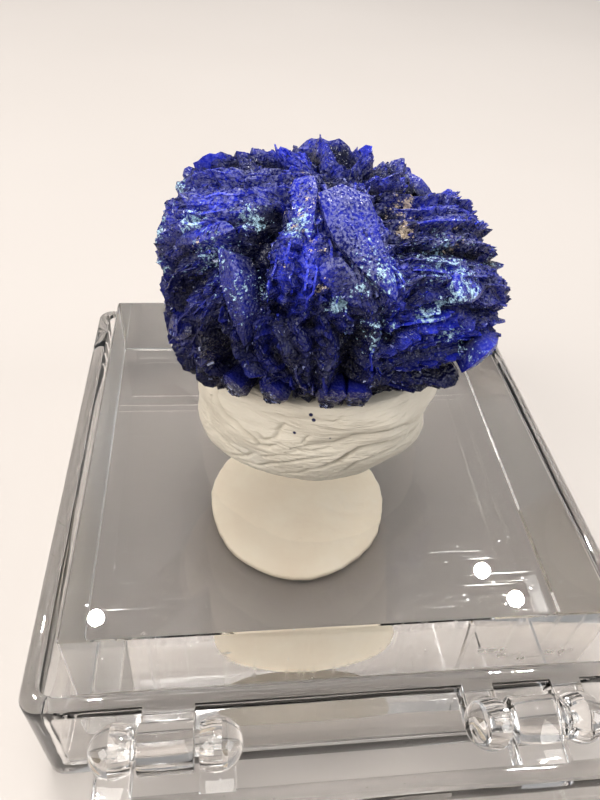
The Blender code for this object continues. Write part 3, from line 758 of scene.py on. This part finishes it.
def add_sugar(heap, seat, length, width, normal):
    """Fine crystals over one broad face."""
    number = SUGAR_COUNT
    angle = RNG.uniform(0, 2 * math.pi, number)
    r = np.sqrt(RNG.uniform(0, 1, number))[:, None] * SUGAR_SPREAD
    far, wide = wedge(angle)
    at = seat + length * far * r + width * wide * r + normal * SUGAR_LIFT
    axis = unit(normal + unit(length) * 0.5 + RNG.normal(0, 0.3, (number, 3)))
    size = RNG.uniform(0.10, 0.24, number)
    side = np.tile(unit(width), (number, 1))
    add_druse(heap, at, axis, side, size, size, size * 0.6, np.full(number, 0.9))


def azurite():
    heap = Heap()
    rims = arcs()
    tree = add_body(heap, rims)
    for rim in rims:
        rim_plate(heap, rim)
    slabs = [slab(heap, *row) for row in TABLETS]
    add_small_crystals(heap, rims, tree)
    add_leaves(heap, rims, tree)
    for placed in slabs:
        add_sugar(heap, *placed)

    points = np.concatenate(heap.points)
    low, high = [np.array(corner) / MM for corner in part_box("azurite_cluster")]
    points = np.clip(points, low + BOX_MARGIN, high - BOX_MARGIN)
    toward = unit((points - CENTRE) / REACH)
    # Painted shade: darker towards the bottom and on the shaded sides.
    below = np.clip((SHADE_FROM - points[:, 2]) / SHADE_OVER, 0, 1)
    mesh = mesh_of("azurite_visual", points, heap.faces)
    for name, values in (("rise", heap.crest), ("grain", heap.grain), ("across", heap.across)):
        store(mesh, name, np.concatenate(values))
    for name, table in (("frost", PALE), ("cream", STONE), ("sugar_and_sheen", SUGARY_AND_SHEEN)):
        store(mesh, name, spots(toward, table))
    store(mesh, "low", np.maximum(below, spots(toward, SHADED_SIDES)))
    made = add_piece("azurite_visual", mesh, azurite_material())
    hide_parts("azurite_cluster")
    finish_piece(made, "base")


# -------- putty

# The lump's middle and half sizes, and the heights of its flat foot and top, in mm.
PUTTY_CENTRE, PUTTY_REACH = np.array((-0.6, 0.4, 13.6)), np.array((6.85, 5.8, 4.6))
PUTTY_FOOT, PUTTY_TOP = 10.58, 16.55
PUTTY_STEPS, PUTTY_LEVELS = 420, 150
# Mm along the wall for each radian of turn, and the wall's mean reach from its middle.
LAP_REACH, WALL_REACH = 6.3, 6.5
# Laps in the putty: points (turn in degrees, height in mm), then in mm the depth, the width and how
# far the lap above stands out.
LAPS = (
    (
        ((-166, 13.6), (-165, 12.92), (-154, 12.23), (-145, 11.86), (-136, 11.66), (-129, 11.50)),
        0.16, 0.13, 0.05,
    ),
    (((-159, 15.2), (-157, 14.47), (-148, 13.36), (-138, 12.84), (-131, 12.1)), 0.22, 0.12, 0.07),
    (
        ((-156, 15.9), (-154, 15.06), (-144, 14.41), (-136, 14.25))
        + ((-126, 13.86), (-122, 13.49), (-118, 13.56), (-112, 14.1)),
        0.26, 0.15, 0.12,
    ),
    (((-126, 14.5), (-121, 13.93), (-116, 14.23), (-115, 14.82), (-112, 15.3)), 0.16, 0.14, 0.05),
    (
        ((-139, 10.9), (-124, 11.16), (-110, 12.42), (-102, 12.97), (-95, 13.16), (-85, 13.4)),
        0.16, 0.10, 0.05,
    ),
    (
        ((-118, 13.3), (-105, 13.88), (-96, 14.23), (-89, 14.28))
        + ((-80, 14.86), (-66, 14.89), (-54, 14.67), (-38, 14.0)),
        0.12, 0.22, 0.12,
    ),
    (
        ((-97, 11.9), (-85, 12.73), (-80, 13.27), (-75, 13.71), (-67, 13.8), (-51, 13.51), (-32, 13.0)),
        0.36, 0.17, 0.20,
    ),
    (((-82, 11.3), (-74, 12.58), (-66, 12.75), (-60, 12.86), (-46, 13.15)), 0.20, 0.14, 0.10),
    (((-113, 10.9), (-102, 11.53), (-97, 12.07), (-88, 12.4)), 0.14, 0.12, 0.05),
    (((-152, 11.5), (-142, 11.01), (-132, 11.55), (-125, 12.58)), 0.15, 0.12, 0.05),
    (((-103, 14.05), (-102, 14.43), (-100, 14.75)), 0.14, 0.07, 0.0),
    (((-91, 15.8), (-88, 16.02), (-86, 16.2)), 0.10, 0.07, 0.0),
    (((-112, 13.3), (-103, 13.67), (-94, 13.77), (-86, 14.0)), 0.10, 0.09, 0.04),
    (((-123, 12.2), (-112, 13.14), (-99, 13.4)), 0.10, 0.10, 0.04),
    (((-20, 12.2), (10, 13.3), (45, 13.9), (75, 14.9)), 0.24, 0.16, 0.14),
    (((20, 11.4), (52, 12.2), (84, 13.3), (110, 13.4)), 0.22, 0.14, 0.12),
    (((95, 15.4), (120, 14.1), (150, 13.2), (172, 12.4)), 0.26, 0.16, 0.14),
    (((110, 12.4), (135, 11.7), (160, 11.4)), 0.16, 0.13, 0.08),
)
# Specks of azurite on the putty, in mm.
SPECKS = (
    (-1.68, -4.91, 16.13), (-1.52, -5.01, 15.84), (-0.56, -5.14, 14.67), (-2.43, -4.78, 14.73),
    (3.1, 5.6, 14.2),
)


def lap_depths(turn, height):
    """How far in (mm) the laps press the wall at each point, and how much painted shade lies in its creases.
    """
    inward, groove_shade = np.zeros((2, *turn.shape))
    for path, depth, width, stand in LAPS:
        path = np.array([(math.radians(t) * LAP_REACH, z) for t, z in path])
        near = np.full(turn.shape, 1e9)
        above, share = np.zeros((2, *turn.shape))
        for index, (p, q) in enumerate(zip(path[:-1], path[1:])):
            along = q - p
            x, z = turn * LAP_REACH - p[0], height - p[1]
            t = np.clip((x * along[0] + z * along[1]) / (along @ along), 0, 1)
            dx, dz = x - t * along[0], z - t * along[1]
            away = np.hypot(dx, dz)
            closer = away < near
            near = np.where(closer, away, near)
            above = np.where(closer, along[0] * dz - along[1] * dx, above)
            share = np.where(closer, (index + t) / (len(path) - 1), share)
        fade = np.clip(np.minimum(share, 1 - share) * 5, 0, 1)
        groove = np.exp(-((near / width) ** 2)) * fade
        side = np.sign(above) * np.exp(-near / 0.9) * fade
        inward += depth * groove - stand * np.where(side > 0, side, 0.35 * side)
        groove_shade = np.maximum(groove_shade, groove * min(1.0, depth / 0.22))
    return inward, groove_shade


def lofted(rings, cap_low, cap_high):
    """One closed mesh from stacked rings of points, each end drawn together to a point."""
    count = rings.shape[1]
    points = np.concatenate((rings.reshape(-1, 3), [cap_low, cap_high]))
    pairs = [(i, (i + 1) % count) for i in range(count)]
    low, high, top = len(points) - 2, len(points) - 1, (len(rings) - 1) * count
    faces = [(r + i, r + j, r + count + j, r + count + i) for r in range(0, top, count) for i, j in pairs]
    for i, j in pairs:
        faces += [(low, j, i), (high, top + i, top + j)]
    return points, faces


def putty():
    """The pressed lump, with laps and creases that sweep up to the right."""
    turns = np.linspace(-math.pi, math.pi, PUTTY_STEPS, endpoint=False)
    turn, level = np.meshgrid(turns, np.linspace(-0.995, 0.995, PUTTY_LEVELS))
    wall = (1 - np.abs(level) ** 3.0) ** (1 / 3.0)
    swell = 0.030 * np.sin(2 * turn + 2.4) + 0.014 * np.sin(5 * turn + 6 * level)
    swell += 0.016 * np.sin(9 * level + 2.2 * turn)
    height = PUTTY_CENTRE[2] + level * PUTTY_REACH[2]
    inward, groove_shade = lap_depths(turn, height)
    lumps, wrinkle = np.zeros((2, *turn.shape))
    for spot, z in np.ndenumerate(height):
        t = turn[spot]
        round_it = Vector((math.cos(t) * 6, math.sin(t) * 6, z)) * 0.55
        lumps[spot] = noise.fractal(round_it, 0.9, 2.1, 3)
        slant = Vector((t * LAP_REACH * 0.55 + z * 0.4, z * 1.9 - t * LAP_REACH * 0.55, 3.0))
        wrinkle[spot] = abs(noise.fractal(slant, 0.8, 2.0, 3))
    fine = np.clip(0.16 - wrinkle, 0, 0.16) / 0.16
    lower = np.clip((14.6 - height) / 2.0, 0.15, 1)
    inward = inward - 0.10 * lumps + 0.055 * fine**2 * lower
    round_share = np.clip(wall * 1.6, 0, 1)
    out = wall * (1 + swell) - inward / WALL_REACH * round_share
    x = PUTTY_CENTRE[0] + np.cos(turn) * out * PUTTY_REACH[0] + 0.4 * level
    y = PUTTY_CENTRE[1] + np.sin(turn) * out * PUTTY_REACH[1]
    rings = np.stack((x, y, np.clip(height, PUTTY_FOOT, PUTTY_TOP)), -1)
    keep = (height[:, 0] > PUTTY_FOOT - 0.05) & (height[:, 0] < PUTTY_TOP + 0.05)
    rings, groove_shade, fine = rings[keep], groove_shade[keep], (fine * lower)[keep]
    foot, top = [np.array((*PUTTY_CENTRE[:2], end)) for end in (PUTTY_FOOT, PUTTY_TOP)]
    mesh = mesh_of("putty_visual", *lofted(rings, foot, top))
    # Painted shade in the creases and wrinkles.
    store(mesh, "crease_shade", np.concatenate((np.clip(groove_shade + 0.4 * fine**2, 0, 1).ravel(), [0, 0])))
    mesh.shade_smooth()
    made = add_piece("putty_visual", mesh, putty_material())
    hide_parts("mounting_putty")
    finish_piece(made, "base")


# The pad's middle and radius in mm, and its wall from the foot to the middle of the top: inset, height.
PAD_CENTRE, PAD_RADIUS, PAD_STEPS = np.array((-1.39, -1.73)), 5.75, 200
PAD_PROFILE = ((0.10, 0.71), (0.0, 0.80), (0.02, 1.03), (0.08, 1.115), (1.2, 1.118), (3.0, 1.12))


def pad():
    """The flat round of putty, pressed against the block's underside."""
    turn = np.linspace(0, 2 * math.pi, PAD_STEPS, endpoint=False)
    ragged = [noise.fractal(Vector((math.cos(t) * 9, math.sin(t) * 9, 0)), 0.8, 2.0, 3) for t in turn]
    ripple = 1 + 0.012 * np.sin(3 * turn + 0.7) + 0.006 * np.sin(7 * turn) + 0.010 * np.array(ragged)
    rings = []
    for inset, height in PAD_PROFILE:
        radius = PAD_RADIUS * ripple - inset
        x, y = PAD_CENTRE[0] + np.cos(turn) * radius, PAD_CENTRE[1] + np.sin(turn) * radius
        rings.append(np.stack((x, y, np.full_like(x, height)), -1))
    foot, top = [np.array((*PAD_CENTRE, PAD_PROFILE[end][1])) for end in (0, -1)]
    mesh = mesh_of("pad_visual", *lofted(np.array(rings), foot, top))
    mesh.shade_smooth()
    made = add_piece("pad_visual", mesh, pad_material())
    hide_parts("block_pad")
    finish_piece(made, "base")


# -------- the clear box

# All in mm. The hinges' shared axis runs along x.
SIDE, DEPTH, WALL = 32.0, 8.0, 0.9
BASE_PANEL, LID_PANEL = 0.6, 0.9
HINGE_Y, HINGE_Z = -17.85, 8.0
LEFT_HINGE, RIGHT_HINGE = -9.0, 8.4
SOFT_EDGE = 0.10
# Arms start this far inside the wall, and reach from just under the axis to this far under it.
ARM_ROOT, ARM_TOP, ARM_FOOT = 0.3, 0.01, 1.3
# The lug's half width and barrel radius, and its pin's radius and end.
LUG_HALF, BARREL, PIN, PIN_END = 1.25, 1.1, 0.45, 2.15
# The knobs: radius and place of each ball, its arm's two sides, and the bore's radius and end.
KNOB, KNOB_AT, KNOB_NEAR, KNOB_FAR = 1.2, 2.25, 1.5, 3.1
BORE, BORE_END = 0.7, 2.45
# Half the height of the cut that makes each ball flat beside its lug.
FACING = 1.6
# Points along each side and round each corner of a ring of the shell.
STRAIGHT_STEPS, CORNER_STEPS = 18, 6
# Edges that turn by more than this are shaded sharp.
MOST_SMOOTH_DEGREES = 38


def square_ring(half, corner, height, middle_y):
    """A rounded square of points, anticlockwise from above."""
    reach = half - corner
    local = [(half, -reach + 2 * reach * i / STRAIGHT_STEPS) for i in range(STRAIGHT_STEPS)]
    for i in range(CORNER_STEPS):
        a = math.pi / 2 * i / CORNER_STEPS
        local.append((reach + corner * math.cos(a), reach + corner * math.sin(a)))
    points = []
    for quarter in range(4):
        turn = quarter * math.pi / 2
        c, s = math.cos(turn), math.sin(turn)
        points += [(x * c - y * s, x * s + y * c + middle_y, height) for x, y in local]
    return np.array(points)


def shell_mesh(name, middle_y, panel):
    """A moulded half box: soft rims and corners, and walls that wave a little."""
    half, inner = SIDE / 2, SIDE / 2 - WALL
    # Half side, corner radius and height of each ring, from the underside out, up and in again.
    profile = [(half - 0.16, 1.0, 0.0), (half - 0.04, 1.0, 0.05), (half, 1.0, 0.17)]
    profile += [(half, 1.0, z) for z in np.linspace(1.2, DEPTH - 1.0, 6)]
    profile += [(half, 1.0, DEPTH - 0.16), (half - 0.05, 0.95, DEPTH - 0.04), (half - 0.16, 0.85, DEPTH)]
    profile += [(inner + 0.20, 0.70, DEPTH), (inner + 0.06, 0.60, DEPTH - 0.05), (inner, 0.55, DEPTH - 0.2)]
    profile += [(inner, 0.55, z) for z in np.linspace(DEPTH - 1.2, panel + 1.0, 6)]
    profile += [(inner, 0.55, panel + 0.22), (inner - 0.07, 0.50, panel + 0.06), (inner - 0.24, 0.45, panel)]
    rings = []
    for half_side, corner, height in profile:
        ring = square_ring(half_side, corner, height, middle_y)
        if 1.0 < height < DEPTH - 0.1 and half_side < half - 0.5:
            wave = np.array([noise.noise(Vector(p) * 0.45) for p in ring])
            ring[:, :2] += unit(ring[:, :2] - (0, middle_y)) * (0.05 * wave)[:, None]
        rings.append(ring)
    centre = np.array((0, middle_y, 0.0))
    return mesh_of(name, *lofted(np.array(rings), centre, centre + (0, 0, panel)))


def solid_mesh(name, build):
    """The mesh that build makes, in mm, brought to metres."""
    bm = bmesh.new()
    build(bm)
    bmesh.ops.recalc_face_normals(bm, faces=bm.faces)
    for vert in bm.verts:
        vert.co *= MM
    mesh = bpy.data.meshes.new(name)
    bm.to_mesh(mesh)
    bm.free()
    return mesh


def move(bm, place, how):
    """Turns or stretches all of it, then takes it to a place."""
    bmesh.ops.transform(bm, matrix=Matrix.Translation(place) @ how, verts=bm.verts)


def to_hinge(bm, x):
    """Lays it along the hinge axis, with its middle at x."""
    move(bm, (x, HINGE_Y, HINGE_Z), Matrix.Rotation(math.pi / 2, 4, "Y"))


def soften(bm, edges, width, steps):
    bmesh.ops.bevel(bm, geom=edges, offset=width, segments=steps, profile=0.5, affect="EDGES")


def bar(low, high, soft=0.0):
    """A box between two corners, its edges rounded over by soft."""

    def build(bm):
        bmesh.ops.create_cube(bm, size=1.0)
        size, middle = Vector(high) - Vector(low), (Vector(high) + Vector(low)) / 2
        move(bm, middle, Matrix.Diagonal((*size, 1)))
        if soft:
            soften(bm, bm.edges[:], soft, 3)

    return build


def rod(radius, start, end, sides=48, soft=0.0):
    """A round bar on the hinge axis, its ends rounded over by soft."""

    def build(bm):
        depth = end - start
        bmesh.ops.create_cone(bm, cap_ends=True, segments=sides, radius1=radius, radius2=radius, depth=depth)
        if soft:
            caps = [edge for edge in bm.edges if any(len(face.verts) > 4 for face in edge.link_faces)]
            soften(bm, caps, soft, 2)
        to_hinge(bm, (start + end) / 2)

    return build


def ball(radius, x):
    """A ball on the hinge axis."""

    def build(bm):
        bmesh.ops.create_uvsphere(bm, u_segments=48, v_segments=26, radius=radius)
        to_hinge(bm, x)

    return build


def arm(low_x, high_x, wall_y):
    """A bar from the wall to the hinge axis."""
    inward = ARM_ROOT if wall_y > HINGE_Y else -ARM_ROOT
    low_y, high_y = sorted((HINGE_Y, wall_y + inward))
    low, high = (low_x, low_y, HINGE_Z - ARM_FOOT), (high_x, high_y, HINGE_Z - ARM_TOP)
    return ("UNION", bar(low, high, SOFT_EDGE))


def lug_parts(x, wall_y):
    """An arm from the wall with a barrel on the hinge axis, and a pin out of each end of it."""
    return (
        arm(x - LUG_HALF, x + LUG_HALF, wall_y),
        ("UNION", rod(BARREL, x - LUG_HALF, x + LUG_HALF, soft=SOFT_EDGE)),
        ("UNION", rod(PIN, x - PIN_END, x + PIN_END, 32)),
    )


def knob_parts(x, wall_y):
    """Two arms from the wall, each with a ball on the hinge axis that a pin turns in."""
    made = []
    for side in (-1, 1):
        near, far = x + side * KNOB_NEAR, x + side * KNOB_FAR
        flat_low, flat_high = sorted((near, x))
        bore = sorted((x + side * LUG_HALF, x + side * BORE_END))
        low = (flat_low, HINGE_Y - FACING, HINGE_Z - FACING)
        high = (flat_high, HINGE_Y + FACING, HINGE_Z + FACING)
        made += [
            arm(*sorted((near, far)), wall_y),
            ("UNION", ball(KNOB, x + side * KNOB_AT)),
            ("DIFFERENCE", bar(low, high)),
            ("DIFFERENCE", rod(BORE, *bore, 32)),
        ]
    return tuple(made)


def box_half(name, node, body, middle_y, panel, parts, look):
    """One half of the box: its shell with the hinge parts joined to it and the bores cut."""
    made = add_piece(name, shell_mesh(name, middle_y, panel), look)
    helpers = [add_object("helper", solid_mesh("helper", build)) for _, build in parts]
    for (operation, _), helper in zip(parts, helpers):
        modifier = made.modifiers.new(operation, "BOOLEAN")
        modifier.operation, modifier.solver, modifier.object = operation, "EXACT", helper
    bpy.context.view_layer.update()
    graph = bpy.context.evaluated_depsgraph_get()
    whole = bpy.data.meshes.new_from_object(made.evaluated_get(graph))
    made.modifiers.clear()
    made.data = whole
    for helper in helpers:
        bpy.data.objects.remove(helper)
    whole.shade_smooth()
    whole.set_sharp_from_angle(angle=math.radians(MOST_SMOOTH_DEGREES))
    whole.materials.clear()
    whole.materials.append(look)
    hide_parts(node)
    finish_piece(made, body)


def clear_box(look):
    base_wall, lid_wall = -SIDE / 2, 2 * HINGE_Y + SIDE / 2
    base_parts = lug_parts(LEFT_HINGE, base_wall) + knob_parts(RIGHT_HINGE, base_wall)
    lid_parts = knob_parts(LEFT_HINGE, lid_wall) + lug_parts(RIGHT_HINGE, lid_wall)
    box_half("base_visual", "box_base", "base", 0.0, BASE_PANEL, base_parts, look)
    box_half("lid_visual", "box_lid", "lid", 2 * HINGE_Y, LID_PANEL, lid_parts, look)


# -------- stage and order

# Metres: half the floor's side, and how far under the box it lies, to share no plane with it.
FLOOR_HALF, FLOOR_DROP = 1.5, 0.00004


def floor():
    bm = bmesh.new()
    bmesh.ops.create_grid(bm, x_segments=1, y_segments=1, size=FLOOR_HALF)
    mesh = bpy.data.meshes.new("studio_floor")
    bm.to_mesh(mesh)
    bm.free()
    made = add_piece("studio_floor", mesh, floor_material())
    made.location = (0, 0, -FLOOR_DROP)


def main():
    add_camera()
    add_studio()
    floor()
    azurite()
    putty()
    pad()
    clear_box(box_material())
    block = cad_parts["acrylic_block"]
    block.data.materials.clear()
    block.data.materials.append(block_material())


main()
